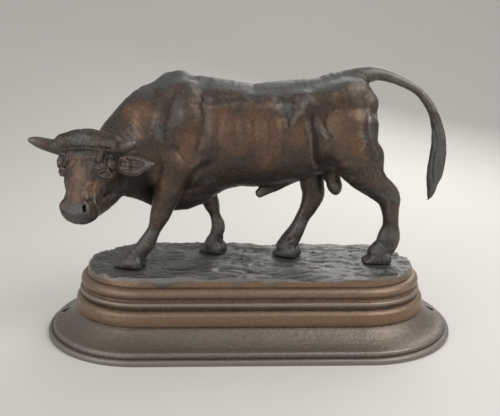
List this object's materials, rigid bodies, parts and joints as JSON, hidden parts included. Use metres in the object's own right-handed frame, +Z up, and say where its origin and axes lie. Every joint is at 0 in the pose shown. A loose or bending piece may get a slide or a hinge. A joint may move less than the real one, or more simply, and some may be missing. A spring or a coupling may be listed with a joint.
{
  "type": "bull sculpture",
  "caption": "Cast bronze figure of a walking bull, head lowered and turned to one side and tail arched, standing on a stepped, moulded base with rounded ends and rough ground.",
  "frame": {"origin": "centre of the base's flat underside", "axes": "+X from the bull's head end to its tail end along the base, +Y across to the bull's right side, +Z up"},
  "size_m": [0.34, 0.168, 0.2164],
  "materials": {
    "bull_bronze": "dark brown patinated cast bronze, satin, rubbed red-brown on the flanks and grey-green in back, horns, hair and lower legs",
    "base_bronze": "brown patinated cast bronze, dull satin, grey-green on the ground, warm brown walls, pitted and lightly dusty"
  },
  "bodies": {
    "root": {"bull": "bull_bronze", "base": "base_bronze"}
  },
  "joints": []
}
